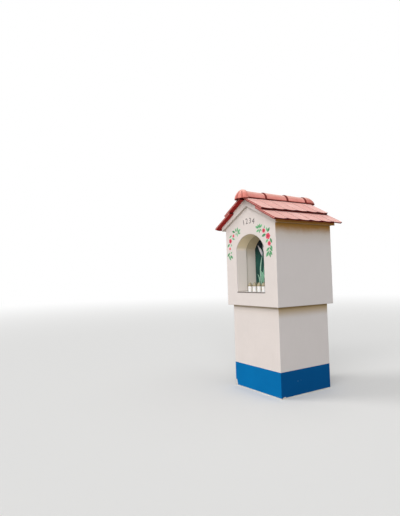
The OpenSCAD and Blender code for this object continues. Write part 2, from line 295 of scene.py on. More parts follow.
def render_coat(name, colour, shade, grime):
    """Smooth lime render under paint: trowel waves, fine sand, faint patches, rain streaks and some dirt."""
    made, tree, shader, place = new_material(name, roughness=0.86)
    patches = noise(tree, place, 2.6, 4, 0.35, 0.7)
    grains = noise(tree, place, 160, 2, 0.3, 0.7)
    waves = noise(tree, place, 9, 2)
    streaks = noise(tree, place, 17, 4, 0.55, 0.80, (1, 1, 0.16))
    paint = lay_over(tree, colour, (patches, 0.6, shade), (streaks, 0.04, grime), (grains, 0.04, grime))
    set_bump(tree, shader, (waves, 0.02, 0.14), (grains, 0.0006, 0.3))
    return made, tree, shader, place, paint


# The white paint runs on over the upper body and into its niche, where its painted light and shade follow
# these sizes.
body_x, body_y, floor_z, eaves_z = 0.455, 0.445, 1.155, 1.996
niche_half, spring_z, reveal_y, niche_end_y = 0.250, 1.690, -0.285, -0.123

white_paint, tree, shader, place, paint = render_coat(
    "white_render", (0.735, 0.660, 0.630), (0.690, 0.620, 0.590), (0.30, 0.235, 0.165))

# What is laid over the paint: painted shade, brown in tone, below the eaves; painted light over the inside of
# the niche, with a yellow tint in its head, and painted shade deeper in and in its corners; painted shade on
# undersides and down the top of the shaft under the ledge; and the side walls darker and cooler as painted
# shade.
depth, height = along(tree, place, "Y"), along(tree, place, "Z")
streaked = maths(tree, "MULTIPLY_ADD", noise(tree, place, 6, 3, 0.2, 0.8), 0.035, height)
side_face, upward = side_faces(tree), along(tree, facing(tree), "Z")
cornice_foot = product(tree, ramp(tree, upward, -0.5, -0.9),
                       ramp(tree, either_way(tree, place, "Y"), body_y + 0.0015, body_y + 0.0005))
at_eaves = product(tree, maths(tree, "MAXIMUM", side_face, cornice_foot),
                   ramp(tree, height, eaves_z + 0.034, eaves_z + 0.002))
# Painted shade below the eaves, brown in tone, on the side walls and under the cornices.
faint_eave_shade = product(tree, at_eaves, ramp(tree, streaked, eaves_z - 0.296, eaves_z - 0.146))
eave_shade = product(tree, at_eaves, ramp(tree, streaked, eaves_z - 0.181, eaves_z - 0.066))
# The inside of the niche is painted lighter than the outside, as painted light.
inside = product(tree, ramp(tree, either_way(tree, place, "X"), niche_half + 0.050, niche_half + 0.020),
                 ramp(tree, either_way(tree, place, "Y"), body_y - 0.001, body_y - 0.015),
                 ramp(tree, height, floor_z - 0.005, floor_z),
                 ramp(tree, depth, niche_end_y + 0.023, niche_end_y + 0.013))
outside = maths(tree, "SUBTRACT", 1, inside)
# Painted shade on faces that look down.
underside = product(tree, outside, ramp(tree, upward, -0.2, -0.7))
# The head of the niche is tinted yellow. Deeper in, behind the rebate, the inside is darker as painted shade,
# and darker and yellower towards its head.
head_tint = product(tree, inside, ramp(tree, streaked, spring_z - 0.015, spring_z + 0.065))
room = product(tree, inside, ramp(tree, depth, reveal_y - 0.005, reveal_y + 0.007))
room_head_tint = product(tree, room, ramp(tree, streaked, spring_z - 0.130, spring_z + 0.030))
# Painted shade in the corner behind the rebate and along the foot of the walls inside the niche.
off_rebate = maths(tree, "ABSOLUTE", maths(tree, "SUBTRACT", depth, reveal_y + 0.007))
corner_shade = product(tree, inside, maths(tree, "MAXIMUM", ramp(tree, off_rebate, 0.014, 0.004),
                                          ramp(tree, height, floor_z + 0.027, floor_z + 0.012)))
# Painted shade down the top of the shaft under the ledge, yellow-brown and strongest on the sides, with a
# darker painted shadow line right under it.
shaft_end = ramp(tree, height, shaft_top + 0.003, shaft_top - 0.002)
overhang_shade = product(tree, shaft_end, ramp(tree, height, shaft_top - 0.140, shaft_top - 0.015))
overhang_shadow_line = product(tree, shaft_end, ramp(tree, height, shaft_top - 0.034, shaft_top - 0.010))
set_colour(tree, shader, lay_over(
    tree, paint,
    (inside, 0.75, (0.880, 0.810, 0.775)),
    # Faces that look to the left or right, outside the niche, are painted darker and cooler, as painted
    # shade.
    (product(tree, outside, side_face), 0.45, (0.520, 0.510, 0.530)),
    (faint_eave_shade, 0.22, (0.500, 0.380, 0.200)),
    (eave_shade, 1, (0.385, 0.195, 0.040)),
    (underside, 0.45, (0.300, 0.235, 0.165)),
    (head_tint, 1, (0.950, 0.790, 0.550)),
    (room, 0.22, (0.420, 0.350, 0.270)),
    (room_head_tint, 0.40, (0.520, 0.410, 0.230)),
    (corner_shade, 0.45, (0.220, 0.180, 0.130)),
    (overhang_shade, 0.15, (0.400, 0.300, 0.180)),
    (product(tree, overhang_shade, side_face), 0.70, (0.390, 0.250, 0.070)),
    (overhang_shadow_line, 0.60, (0.260, 0.170, 0.045))))


def chip(tree, place, centre, size):
    """1 inside a ragged chip round a centre, and 0 outside it."""
    away = add_node(tree, "ShaderNodeVectorMath", {0: place, 1: centre}, operation="SUBTRACT")
    away = add_node(tree, "ShaderNodeVectorMath", {0: away.outputs[0], 1: size}, operation="DIVIDE")
    away = add_node(tree, "ShaderNodeVectorMath", {0: away.outputs[0]}, operation="LENGTH")
    ragged = maths(tree, "MULTIPLY_ADD", noise(tree, place, 70, 3), 0.5, away.outputs["Value"])
    return ramp(tree, ragged, 1.25, 1.10)


blue_paint, tree, shader, place, paint = render_coat(
    "blue_render", (0.001, 0.158, 0.415), (0.001, 0.126, 0.350), (0.008, 0.090, 0.205))
shader.inputs["Specular IOR Level"].default_value = 0.05
# Faces that look to the left or right are painted a darker blue, as painted shade.
paint = lay_over(tree, paint, (side_faces(tree), 0.65, (0.0005, 0.035, 0.150)))
for centre, size, bare in (((shaft_x, -0.352, 0.004), (0.020, 0.030, 0.020), (0.640, 0.600, 0.560)),
                           ((0.010 - shaft_x, -shaft_y, 0.010), (0.028, 0.020, 0.075), (0.640, 0.600, 0.560)),
                           ((shaft_x, -0.140, 0.164), (0.010, 0.008, 0.005), (0.075, 0.190, 0.330)),
                           ((shaft_x, -0.092, 0.168), (0.010, 0.006, 0.004), (0.050, 0.150, 0.290))):
    paint = lay_over(tree, paint, (chip(tree, place, centre, size), 1, bare))
set_colour(tree, shader, paint)

bare_concrete, tree, shader, place = new_material("bare_concrete", roughness=0.93)
stones = noise(tree, place, 90, 4, 0.35, 0.65)
set_colour(tree, shader, blend_colour(tree, stones, (0.58, 0.56, 0.51), (0.74, 0.72, 0.67)))
set_bump(tree, shader, (stones, 0.003, 0.8))

for name, low_z, high_z, material, slot, node in (
        ("shaft_walls", blue_top, shaft_top, white_paint, "white_render", "shaft"),
        ("blue_plinth", footing_top, blue_top, blue_paint, "blue_painted_render", "plinth"),
        ("footing_strip", 0, footing_top, bare_concrete, "bare_concrete", "footing")):
    piece = block(name, (-shaft_x, -shaft_y, low_z), (shaft_x, shaft_y, high_z))
    pick(piece, "edges", upright_edge)
    soften(shaft_arris, segments=4)
    finish_piece(piece, material, slot, node)

# Upper body: brickwork like the shaft, 50 mm wider all round, with a gable in front and behind.
# The render runs on into the niche, whose head is a segmental arch, and turns round its edge.
pitch = math.radians(28.5)
rise = math.tan(pitch)
peak_z = eaves_z + body_x * rise
arch_rise, rebate = 0.155, 0.012
arch_r = (niche_half ** 2 + arch_rise ** 2) / (2 * arch_rise)
arch_z = spring_z + arch_rise - arch_r
body_arris, mouth_arris, rebate_arris, cut_past = 0.006, 0.005, 0.003, 0.050
near = 1e-5


def select_mesh():
    """Selects all of the mesh that is open for editing."""
    bpy.ops.mesh.select_all(action="SELECT")


def extrude(x, y, z):
    """Extrudes what is selected."""
    bpy.ops.mesh.extrude_region_move(TRANSFORM_OT_translate={"value": (x, y, z)})


def close_up():
    """Merges points that lie together, and turns every face outwards."""
    select_mesh()
    bpy.ops.mesh.remove_doubles(threshold=near)
    bpy.ops.mesh.normals_make_consistent(inside=False)


def arch_block(name, grow, low_z, front_y, back_y):
    """Adds a block with the outline of the niche, grown all round, from front_y to back_y."""
    select_nothing()
    bpy.ops.mesh.primitive_circle_add(vertices=192, radius=arch_r + grow, fill_type="NGON",
                                      location=(0, front_y, arch_z), rotation=(math.pi / 2, 0, 0))
    piece = open_new(name)
    for point, normal in (((0, 0, spring_z), (0, 0, -1)), ((niche_half + grow, 0, 0), (1, 0, 0)),
                          ((-niche_half - grow, 0, 0), (-1, 0, 0))):
        select_mesh()
        bpy.ops.mesh.bisect(plane_co=point, plane_no=normal, clear_outer=True)
    pick(piece, "edges", lambda middle, edge: abs(middle.z - spring_z) < near)
    extrude(0, 0, low_z - spring_z)
    select_mesh()
    extrude(0, back_y - front_y, 0)
    close_up()
    return piece


def cut_out(piece, cutter):
    """Cuts one piece out of another and removes it."""
    use_modifier(piece, "BOOLEAN", operation="DIFFERENCE", object=cutter, solver="EXACT")
    bpy.data.objects.remove(cutter)


def sharp(edge):
    """True for an edge that sticks out."""
    return edge.is_convex and edge.calc_face_angle() > 1


def niche_edge(middle, edge, edge_y):
    """True for the upright and arched edges of the niche at one depth."""
    return (abs(middle.y - edge_y) < near and abs(middle.x) < niche_half + near and sharp(edge)
            and floor_z + near < middle.z < spring_z + arch_rise + near)


def body_edge(middle, edge):
    """True for the upright corners of the body and for the edges round its foot."""
    past_x, past_y = abs(middle.x) - body_x, abs(middle.y) - body_y
    corner = min(past_x, past_y) > -near and middle.z < eaves_z + near
    foot = max(past_x, past_y) > -near and middle.z < shaft_top + near
    return (corner or foot) and sharp(edge)


walls = block("upper_walls", (-body_x, -body_y, shaft_top), (body_x, body_y, eaves_z))
select_mesh()
bpy.ops.mesh.bisect(plane_co=(0, 0, 0), plane_no=(1, 0, 0))
pick(walls, "verts", lambda middle, vertex: abs(middle.x) < near and middle.z > eaves_z - near)
bpy.ops.transform.translate(value=(0, 0, peak_z - eaves_z))
select_mesh()
bpy.ops.mesh.dissolve_limited(angle_limit=math.radians(1))
cut_out(walls, arch_block("niche_room", rebate, floor_z, reveal_y, niche_end_y))
cut_out(walls, arch_block("niche_mouth", 0, floor_z, -body_y - cut_past, reveal_y + cut_past))
bpy.ops.object.mode_set(mode="EDIT")
for edge_y, radius in ((-body_y, mouth_arris), (reveal_y, rebate_arris)):
    pick(walls, "edges", lambda middle, edge: niche_edge(middle, edge, edge_y))
    soften(radius)
pick(walls, "edges", body_edge)
soften(body_arris, segments=4)
finish_piece(walls, white_paint, "white_render", "base_course", "front_wall", "left_wall", "right_wall",
             "rear_wall", "niche_vault", "niche_back", "roof_core")

# Bands: a flat moulding of render follows each gable under the tiles, a little deeper at the peak,
# and returns along the side walls under the eaves.
band_out, band_front, band_arris = 0.042, 0.032, 0.004
return_h, peak_h, foot_h = 0.066, 0.065, 0.049
band_x, band_low = body_x + band_out, eaves_z - return_h
under_fall = rise - (peak_h - foot_h) / body_x


def cut_off(point, normal):
    """Cuts off what lies beyond a plane, and closes the cut."""
    select_mesh()
    bpy.ops.mesh.bisect(plane_co=point, plane_no=normal, use_fill=True, clear_outer=True)


for name, wall_y, band_y, nodes in (
        ("front_band", -body_y, -body_y - band_front, ("front_left_rake", "front_right_rake")),
        ("rear_band", body_y, body_y + band_front, ("rear_left_rake", "rear_right_rake"))):
    band = block(name, (0, wall_y, band_low), (band_x, band_y, peak_z))
    cut_off((0, 0, peak_z), (rise, 0, 1))
    cut_off((0, 0, peak_z - peak_h), (-under_fall, 0, -1))
    pick(band, "edges", lambda middle, edge: abs(middle.y - band_y) < near and middle.x > near
         and middle.z < peak_z - middle.x * rise - near
         or abs(middle.x - band_x) < near and abs(middle.z - band_low) < near)
    soften(band_arris)
    pick(band, "faces", lambda middle, face: abs(middle.x) < near)
    bpy.ops.mesh.delete(type="FACE")
    use_modifier(band, "MIRROR", use_axis=(True, False, False), merge_threshold=near)
    finish_piece(band, white_paint, "white_render", *nodes)

for side, name in ((-1, "left_cornice"), (1, "right_cornice")):
    band = block(f"{name}_band", (side * body_x, -body_y, band_low), (side * band_x, body_y, eaves_z))
    cut_off((side * body_x, 0, eaves_z), (side * rise, 0, 1))
    pick(band, "edges", lambda middle, edge: abs(middle.x - side * band_x) < near
         and abs(middle.z - band_low) < near)
    soften(band_arris)
    finish_piece(band, white_paint, "white_render", name)

# Sill: a thin slab of cast concrete on the floor of the niche, as wide as the opening in front and as the
# room behind, up to the face of the picture. Its top is painted like the walls. Its front edge stands
# just proud of the wall; it and the other sides are coloured nearly black, as painted shade.
sill_t, sill_lip, sill_arris, board_t = 0.010, 0.004, 0.003, 0.012
sill_top, sill_front = floor_z + sill_t, -body_y - sill_lip
board_face, room_half = niche_end_y - board_t, niche_half + rebate
sill = block("sill_slab", (-niche_half, sill_front, floor_z), (niche_half, reveal_y, sill_top))

# At the reveal the slab steps out to the width of the room, and runs on to the picture.
pick(sill, "faces", lambda middle, face: abs(middle.y - reveal_y) < near)
extrude(0, 0, 0)
bpy.ops.transform.resize(value=(room_half / niche_half, 1, 1), center_override=(0, reveal_y, sill_top))
extrude(0, board_face - reveal_y, 0)
pick(sill, "edges", lambda middle, edge: abs(middle.y - sill_front) < near and abs(middle.x) < near)
soften(sill_arris)

sill_stone, tree, shader, place = new_material("sill_stone", roughness=0.75)
stones = noise(tree, place, 60, 4, 0.35, 0.65)
# The front and sides of the slab are coloured nearly black, as painted shade, and its top pale.
shaded_edge = blend_colour(tree, stones, (0.060, 0.045, 0.040), (0.110, 0.085, 0.075))
worn_paint = lay_over(tree, (0.820, 0.770, 0.735), (stones, 0.3, (0.620, 0.560, 0.510)))
top_face = ramp(tree, along(tree, facing(tree), "Z"), 0.6, 0.95)
set_colour(tree, shader, blend_colour(tree, top_face, shaded_edge, worn_paint))
set_bump(tree, shader, (stones, 0.002, 0.5))
finish_piece(sill, sill_stone, "sill_slab", "niche_sill")

# Picture: an arched board painted in oils, which stands on the floor of the niche against its back.
# Each stem, leaf and petal of the lilies on it is one stroke of the brush, thicker along its middle.
board_gap = 0.001
board = arch_block("painted_board", rebate - board_gap, floor_z, board_face, niche_end_y)
teal_paint, tree, shader, place = new_material("teal_oil_paint", roughness=0.42)
height = along(tree, place, "Z")
strokes = noise(tree, place, 14, 5, 0.3, 0.7, (1, 1, 0.35))
# The board is painted darker towards its top, as painted shade in the head of the niche, and ochre towards
# its foot.
board_head_shade = ramp(tree, height, spring_z - 0.130, spring_z + 0.070)
low_light = ramp(tree, height, floor_z + 0.135, floor_z + 0.005)
set_colour(tree, shader, lay_over(tree, (0.004, 0.046, 0.040), (strokes, 1, (0.012, 0.092, 0.070)),
                                  (board_head_shade, 1, (0.002, 0.009, 0.018)), (low_light, 1, (0.42, 0.26, 0.06))))
set_bump(tree, shader, (strokes, 0.002, 0.4))
finish_piece(board, teal_paint, "painted_board", "picture_board")


def drawn_line(name, points):
    """Draws a line from point to point and stays in edit mode with all of it selected."""
    select_nothing()
    points = [Vector(p) for p in points]
    bpy.ops.mesh.primitive_plane_add(size=0.01, location=points[0])
    piece = open_new(name)
    bpy.context.tool_settings.mesh_select_mode = (True, False, False)
    select_mesh()
    bpy.ops.mesh.merge(type="CENTER")
    for here, there in zip(points, points[1:]):
        extrude(*(there - here))
    select_mesh()
    return piece


def copy_of(piece, name):
    """A copy of a piece with a mesh of its own."""
    made = bpy.data.objects.new(name, piece.data.copy())
    bpy.context.scene.collection.objects.link(made)
    return made


def joined(pieces, name):
    """Joins the pieces into one."""
    select_nothing()
    for piece in pieces:
        piece.select_set(True)
    bpy.context.view_layer.objects.active = pieces[0]
    bpy.ops.object.join()
    pieces[0].name = name
    return pieces[0]


def set_values(piece, name, value):
    """Gives each vertex of the piece a number between 0 and 1, from its place, for the material to read."""
    layer = piece.data.attributes.new(name, "FLOAT", "POINT")
    layer.data.foreach_set("value", [value(vertex.co) for vertex in piece.data.vertices])


def vertex_value(tree, name):
    """The numbers that set_values gives to the vertices of a piece."""
    return add_node(tree, "ShaderNodeAttribute", {}, attribute_name=name).outputs["Fac"]


paint_back, paint_t, paint_ridge = 0.0002, 0.0007, 0.0005


def stroke_pattern(name, outline, inset):
    """A thin coat of paint, one unit long and wide, with a raised middle and its back just past y = 0."""
    piece = drawn_line(name, [(x, paint_back, z) for x, z in outline])
    bpy.ops.mesh.edge_face_add()
    extrude(0, -paint_back - paint_t, 0)
    close_up()
    pick(piece, "faces", lambda middle, face: face.normal.y < -0.9)
    bpy.ops.mesh.inset(thickness=inset)
    bpy.ops.transform.translate(value=(0, -paint_ridge, 0))
    bpy.ops.object.mode_set(mode="OBJECT")
    return piece


def stroke(pattern, start, end, width, face_y, tone):
    """A copy of a stroke's pattern, laid from one place to another on an upright face."""
    reach = Vector((end[0] - start[0], end[1] - start[1]))
    laid = copy_of(pattern, "stroke")
    laid.data.transform(Matrix.Translation((start[0], face_y, start[1]))
                        @ Matrix.Rotation(-math.atan2(reach.y, reach.x), 4, "Y")
                        @ Matrix.Diagonal((reach.length, 1, width, 1)))
    set_values(laid, "batch", lambda place: tone)
    return laid


def brushed_paint(name, first, second, dark):
    """Oil paint laid on by brush: each stroke has a tone of its own, with darker streaks in it."""
    made, tree, shader, place = new_material(name, roughness=0.5)
    streaks = noise(tree, place, 110, 3, 0.45, 0.75)
    paint = blend_colour(tree, vertex_value(tree, "batch"), first, second)
    set_colour(tree, shader, lay_over(tree, paint, (streaks, 0.55, dark)))
    set_bump(tree, shader, (streaks, 0.0006, 0.4))
    return made


def blade_outline(bow=0.0, fullness=1.0):
    """The outline of a brush stroke with pointed ends. It bows to one side by so many of its widths."""
    steps = [t / 16 for t in range(17)]
    sides = [(t, bow * 4 * t * (1 - t), 0.5 * max(math.sin(math.pi * t), 0) ** fullness) for t in steps]
    return [(t, middle - half) for t, middle, half in sides] + [
        (t, middle + half) for t, middle, half in reversed(sides[1:-1])]


lily_green = brushed_paint("lily_green", (0.500, 0.740, 0.600), (0.150, 0.420, 0.260), (0.060, 0.220, 0.130))
lily_white = brushed_paint("lily_white", (0.740, 0.700, 0.760), (0.560, 0.600, 0.660), (0.400, 0.420, 0.500))
blade = stroke_pattern("blade_pattern", blade_outline(), 0.10)
patterns = {0: blade}
for bow, fullness, inset in ((0.8, 1.0, 0.10), (1.7, 0.45, 0.015), (0.6, 0.45, 0.015)):
    for side in (-1, 1):
        patterns[side * bow] = stroke_pattern("bowed_pattern", blade_outline(side * bow, fullness), inset)

# Each stroke of the lilies has a start, an end, a width and a bow to the outside. The motif is painted
# twice, the second time mirrored, and the strokes lie in turn on six thin layers.
brush = random.Random(3)
layers, layer_t, petal_lift = 6, 0.00003, 0.001
stems = (((0.152, 1.225), (0.127, 1.608), 0.018, 1.7), ((0.022, 1.215), (0.070, 1.640), 0.014, 0.6))
leaves = (((0.030, 1.215), (0.185, 1.430), 0.024, -0.8), ((0.150, 1.235), (0.182, 1.455), 0.022, -0.8),
          ((0.110, 1.225), (0.140, 1.400), 0.026, 0), ((0.015, 1.215), (0.078, 1.500), 0.022, 0.8),
          ((0.190, 1.235), (0.228, 1.380), 0.020, -0.8), ((0.110, 1.225), (0.095, 1.480), 0.020, 0.8))
petals = (((0.128, 1.596), (0.206, 1.745), 0.022, 0), ((0.127, 1.598), (0.184, 1.718), 0.017, -0.8),
          ((0.125, 1.600), (0.157, 1.690), 0.013, -0.8), ((0.070, 1.630), (0.076, 1.762), 0.022, 0),
          ((0.070, 1.630), (0.044, 1.744), 0.017, -0.8), ((0.070, 1.630), (0.107, 1.738), 0.017, 0.8))
greens, whites = [], []
for side in (-1, 1):
    for laid, rows, face_y, tones in ((greens, stems, board_face, (0, 0.3)),
                                      (greens, leaves, board_face, (0.4, 1)),
                                      (whites, petals, board_face - petal_lift, (0, 0.6))):
        for (x, z), (end_x, end_z), width, outward in rows:
            tone = brush.uniform(*tones)
            laid.append(stroke(patterns[-side * outward], (side * x, z), (side * end_x, end_z), width,
                               face_y - layer_t * (len(laid) % layers), tone))
finish_piece(joined(greens, "lily_leaves"), lily_green, "painted_board", smooth=50)
finish_piece(joined(whites, "lily_blossoms"), lily_white, "painted_board", smooth=50)

# Candles: four white plastic grave candles stand in a row on the sill, each under a lacquered tin lid, faded
# to a pale straw colour, with a stepped top and a small knob. A lid sits over the rim of its cup.
candles, candle_y, candle_first, candle_step = 4, -0.370, -0.097, 0.082
cup_h = 0.072
cup_top = sill_top + cup_h

# The profiles are radii and heights, those of a cup over the sill and those of a lid over its cup.
cup_profile = ((0, 0.0005), (0.0205, 0.0005), (0.0225, 0.0025), (0.0238, 0.020), (0.0246, 0.060),
               (0.0250, 0.0645), (0.0250, cup_h), (0.0235, cup_h), (0, cup_h))
lid_profile = ((0, 0), (0.0235, 0), (0.0251, -0.0068), (0.0262, -0.0070), (0.0265, -0.0050),
               (0.0265, 0.0050), (0.0262, 0.0066), (0.0252, 0.0072), (0.0215, 0.0105), (0.0200, 0.0130),
               (0.0165, 0.0235), (0.0130, 0.0300), (0.0100, 0.0320), (0.0050, 0.0325), (0.0042, 0.0340),
               (0.0046, 0.0355), (0.0055, 0.0375), (0.0048, 0.0393), (0.0025, 0.0400), (0, 0.0400))


def turned(name, profile, centre):
    """Turns a profile of radii and heights round an upright axis."""
    x, y, z = centre
    piece = drawn_line(name, [(x + r, y, z + h) for r, h in profile])
    bpy.ops.mesh.spin(steps=48, angle=2 * math.pi, center=centre, axis=(0, 0, 1))
    close_up()
    return piece


cup_plastic, tree, shader, place = new_material("white_cup_plastic", roughness=0.35)
haze = noise(tree, place, 45, 2)
set_colour(tree, shader, blend_colour(tree, haze, (0.86, 0.85, 0.84), (0.78, 0.76, 0.74)))
shader.inputs["Subsurface Weight"].default_value = 0.25
shader.inputs["Subsurface Radius"].default_value = (0.012, 0.009, 0.007)
shader.inputs["Subsurface Scale"].default_value = 0.6

straw_tin, tree, shader, place = new_material("straw_lacquered_tin", roughness=0.42)
scuffs = noise(tree, place, 120, 4, 0.45, 0.7)
rim = ramp(tree, along(tree, place, "Z"), cup_top + 0.011, cup_top + 0.006)
set_colour(tree, shader, lay_over(tree, (0.400, 0.350, 0.240), (rim, 1, (0.340, 0.285, 0.180)),
                                  (scuffs, 0.5, (0.270, 0.220, 0.140))))
shader.inputs["Metallic"].default_value = 0.15
set_bump(tree, shader, (scuffs, 0.0006, 0.4))

for number in range(candles):
    candle_x = candle_first + number * candle_step
    cup = turned(f"candle_cup_{number + 1}", cup_profile, (candle_x, candle_y, sill_top))
    finish_piece(cup, cup_plastic, "candle_cup", f"candle_{number + 1}")
    lid = turned(f"candle_top_{number + 1}", lid_profile, (candle_x, candle_y, cup_top))
    finish_piece(lid, straw_tin, "candle_lid", f"candle_lid_{number + 1}", smooth=28)

# Roof tiles: plain clay tiles with rounded lower ends, six to a course. Each of the two courses on a slope
# is double: the tiles of a lower layer bridge the joints of the upper one and stand back a little.
# The upper faces are faded to pink; the ends are coloured nearly black and the undersides dark red, as
# painted shade.
tiles_across, tile_step, tile_gap = 6, 0.180, 0.002
tile_len, tile_t, tile_bow, bed_setback = 0.380, 0.013, 0.026, 0.030
half_run, roof_half, ridge_gap = 0.570, 0.540, 0.020
eave_tip_z = eaves_z - (half_run - body_x) * rise
course_step = half_run / math.cos(pitch) - ridge_gap - tile_len
tile_arris, tile_slack = 0.003, 0.0005
most_slip, most_turn = 0.003, 0.25


def new_tile():
    """Models one tile: its rounded end at x = 0, its length towards -X and its underside just over z = 0."""
    width = tile_step - tile_gap
    tip_r = (width ** 2 / 4 + tile_bow ** 2) / (2 * tile_bow)
    select_nothing()
    bpy.ops.mesh.primitive_cylinder_add(vertices=120, radius=tip_r, depth=tile_t - tile_slack,
                                        location=(-tip_r, 0, tile_t / 2))
    tile = open_new("tile_pattern")
    cut_off((-tile_bow, 0, 0), (-1, 0, 0))
    pick(tile, "faces", lambda middle, face: abs(middle.x + tile_bow) < near)
    extrude(tile_bow - tile_len, 0, 0)
    select_mesh()
    bpy.ops.mesh.dissolve_limited(angle_limit=math.radians(0.5))
    for face_z in (tile_t - tile_slack / 2, tile_slack / 2):
        pick(tile, "edges", lambda middle, edge: abs(middle.z - face_z) < near
             and middle.x > near - tile_len and edge.calc_face_angle() > 1)
        soften(tile_arris)
    bpy.ops.object.mode_set(mode="OBJECT")
    set_values(tile, "depth", lambda place: 1 - place.z / tile_t)
    return tile


def half_of(piece, name, side):
    """A copy of a tile, split down its length; side is that of the half that stays."""
    half = copy_of(piece, name)
    make_active(half)
    bpy.ops.object.mode_set(mode="EDIT")
    cut_off((0, side * tile_gap / 2, 0), (0, -side, 0))
    bpy.ops.object.mode_set(mode="OBJECT")
    return half


faded_clay, tree, shader, place = new_material("faded_clay", roughness=0.85, gloss=0.12)
clouds = noise(tree, place, 11, 5, 0.34, 0.66)
spots = noise(tree, place, 55, 3, 0.52, 0.70)
grit = noise(tree, place, 220, 3, 0.3, 0.7)
depth, upward = vertex_value(tree, "depth"), along(tree, facing(tree), "Z")
upper_tip_x = half_run - course_step * math.cos(pitch)
# Painted shade on the lower courses just below the ends of the upper courses.
lap_shade = product(tree, vertex_value(tree, "lower"),
                   ramp(tree, either_way(tree, place, "X"), upper_tip_x + 0.017, upper_tip_x + 0.003))
pink = blend_colour(tree, vertex_value(tree, "batch"), (0.870, 0.490, 0.440), (0.920, 0.570, 0.520))
pink = lay_over(tree, pink, (clouds, 0.55, (0.770, 0.340, 0.300)), (spots, 0.40, (0.900, 0.720, 0.540)),
                (lap_shade, 0.80, (0.160, 0.020, 0.018)))
# The sides of the tiles at the verges are mid red, darker towards their lower side as painted shade between
# the layers and pink towards their upper side; within the courses the sides are paler red.
behind_verge = ramp(tree, either_way(tree, place, "Y"), roof_half - 0.020, roof_half - 0.040)
edge_clay_and_shade = lay_over(tree, (0.560, 0.130, 0.115), (ramp(tree, depth, 0.40, 0.70), 1, (0.180, 0.014, 0.013)),
                       (ramp(tree, depth, 0.35, 0.15), 1, (0.840, 0.440, 0.390)),
                       (behind_verge, 1, (0.700, 0.330, 0.290)))
verge_face = ramp(tree, either_way(tree, facing(tree), "Y"), 0.80, 0.97)
# Each face takes its colour from the way it looks: the ends nearly black and the undersides dark red, as
# painted shade, the sides as set above and the upper faces pink.
set_colour(tree, shader, lay_over(tree, (0.070, 0.005, 0.005),
                                  (ramp(tree, upward, -0.60, -0.80), 1, (0.380, 0.022, 0.020)),
                                  (verge_face, 1, edge_clay_and_shade), (ramp(tree, upward, 0.68, 0.85), 1, pink)))
set_bump(tree, shader, (clouds, 0.003, 0.3), (grit, 0.0008, 0.3))

# A layer whose last tiles have their middle on the verge has half tiles there.
tile = new_tile()
halves = {1: half_of(tile, "half_tile_right", 1), -1: half_of(tile, "half_tile_left", -1)}
chance = random.Random(7)
for side, side_name in ((1, "right"), (-1, "left")):
    up_slope = Vector((-side * math.cos(pitch), 0, math.sin(pitch)))
    for course, course_name in ((0, "lower"), (1, "upper")):
        course_foot = Vector((side * half_run, 0, eave_tip_z)) + course * course_step * up_slope
        for layer, layer_name in ((0, "bed"), (1, "cover")):
            row = []
            first = -tiles_across / 2 + 0.5 * layer
            for number in range(tiles_across + 1 - layer):
                y = (first + number) * tile_step
                end = round(y / roof_half) if abs(abs(y) - roof_half) < near else 0
                laid = copy_of(halves[-end] if end else tile, "laid_tile")
                slip = -course * course_step - (0 if layer else bed_setback) - chance.uniform(0, most_slip)
                turn = 0 if end else math.radians(chance.uniform(-most_turn, most_turn))
                laid.data.transform(Matrix.Rotation(0 if side > 0 else math.pi, 4, "Z")
                                    @ Matrix.Translation((half_run, 0, eave_tip_z))
                                    @ Matrix.Rotation(pitch, 4, "Y")
                                    @ Matrix.Translation((slip, y, (2 * course + layer) * tile_t))
                                    @ Matrix.Rotation(turn, 4, "Z"))
                tone = chance.random()
                set_values(laid, "batch", lambda place: tone)
                set_values(laid, "lower", lambda place: 1 - course)
                row.append(laid)
            name = f"{side_name}_{course_name}_{layer_name}"
            laid_course = joined(row, f"{name}_course")

            # The tiles of a bed layer end level with the cover tiles at their upper ends.
            if layer == 0:
                bpy.ops.object.mode_set(mode="EDIT")
                cut_off(course_foot + tile_len * up_slope, up_slope)
            finish_piece(laid_course, faded_clay, "clay_tile", f"{name}_tiles")
for pattern in (tile, *halves.values()):
    bpy.data.objects.remove(pattern)

# Ridge tiles: three half-round clay tiles over the peak, laid from front to back. Each has a rolled socket
# in front and narrows to a spigot behind, over which the next one laps and leaves a narrow groove.
ridge_r, ridge_r_rear, bore_r, spigot_r, fill_r = 0.092, 0.084, 0.080, 0.078, 0.066
ridge_bed, ridge_joints = 0.012, (-0.530, -0.225, 0.127, 0.450)
ridge_z = peak_z + 4 * tile_t / math.cos(pitch) - ridge_r_rear * rise + ridge_bed
groove, lap, roll_w, rim_r = 0.016, 0.030, 0.024, 0.002

# What is nearer to the axis than this belongs to the spigot or to the inside of a tile.
outer_r = ridge_r_rear - 0.003


def over_foot(place, foot_z):
    """0 over a height, rising to 1 in the next few millimetres below it."""
    return min(max((foot_z - place.z) / 0.006, 0), 1)


ridge_clay, tree, shader, place = new_material("ridge_clay", roughness=0.82, gloss=0.15)
clouds = noise(tree, place, 11, 5, 0.32, 0.68)
spots = noise(tree, place, 60, 3, 0.55, 0.72)
grit = noise(tree, place, 200, 3, 0.3, 0.7)
# The insides of the tiles, their sockets, the grooves at the joints and the flutes of the caps are coloured
# dark, as painted shade.
depth, upward, hollow_shade = along(tree, place, "Y"), along(tree, facing(tree), "Z"), vertex_value(tree, "hollow_shade")
for joint_y in ridge_joints[1:]:
    off_joint = maths(tree, "ABSOLUTE", maths(tree, "SUBTRACT", depth, joint_y - 0.004))
    hollow_shade = maths(tree, "MAXIMUM", hollow_shade, ramp(tree, off_joint, 0.015, 0.008))
red = blend_colour(tree, vertex_value(tree, "batch"), (0.700, 0.235, 0.195), (0.930, 0.400, 0.350))
